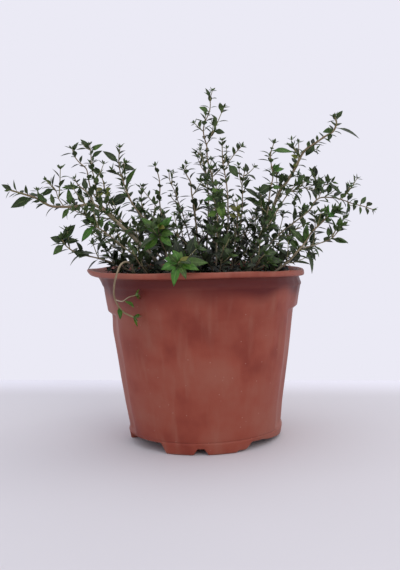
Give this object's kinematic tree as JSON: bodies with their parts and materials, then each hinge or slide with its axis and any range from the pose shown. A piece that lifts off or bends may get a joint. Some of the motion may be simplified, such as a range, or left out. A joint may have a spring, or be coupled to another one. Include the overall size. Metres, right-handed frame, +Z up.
{
  "type": "potted thyme",
  "caption": "Bushy thyme plant with small paired leaves on thin woody stems, growing in potting mix in a round tapered plastic nursery pot with a rolled rim and feet.",
  "frame": {"origin": "on the surface that the pot stands on, under the pot's axis, which is also the middle of the whole object's box", "axes": "+Z up along the pot's axis, -Y the side seen from the front, +X to the right, the direction in which the plant spreads widest"},
  "size_m": [0.2573, 0.1698, 0.2355],
  "materials": {
    "pot_plastic": "satin",
    "potting_mix": "matte",
    "woody_stem": "matte",
    "thyme_leaf": "matte"
  },
  "bodies": {
    "root": {"pot": "pot_plastic", "potting_mix": "potting_mix", "stem_back_left": "thyme_leaf", "stem_back_left_low": "thyme_leaf", "stem_back_middle": "thyme_leaf", "stem_back_right": "thyme_leaf", "stem_back_right_low": "thyme_leaf", "stem_back_rim": "thyme_leaf", "stem_back_rim_left": "thyme_leaf", "stem_back_tall": "thyme_leaf", "stem_centre": "woody_stem", "stem_centre_far": "thyme_leaf", "stem_centre_left": "thyme_leaf", "stem_centre_right": "thyme_leaf", "stem_front_bare": "woody_stem", "stem_front_drape": "thyme_leaf", "stem_front_green": "thyme_leaf", "stem_front_left_low": "thyme_leaf", "stem_front_low": "thyme_leaf", "stem_front_middle_low": "thyme_leaf", "stem_front_rosette": "thyme_leaf", "stem_left_fork": "thyme_leaf", "stem_left_long": "woody_stem", "stem_left_low": "thyme_leaf", "stem_left_middle": "thyme_leaf", "stem_left_near": "thyme_leaf", "stem_left_rim": "thyme_leaf", "stem_left_thin": "thyme_leaf", "stem_olive": "thyme_leaf", "stem_right_long": "woody_stem", "stem_right_middle": "thyme_leaf", "stem_right_near": "thyme_leaf", "stem_right_reach": "thyme_leaf", "stem_right_rim": "thyme_leaf", "stem_right_spray": "thyme_leaf", "stem_right_upright": "thyme_leaf", "stem_tall": "woody_stem", "stem_trailing": "woody_stem", "stem_upper_left": "thyme_leaf"}
  },
  "joints": []
}
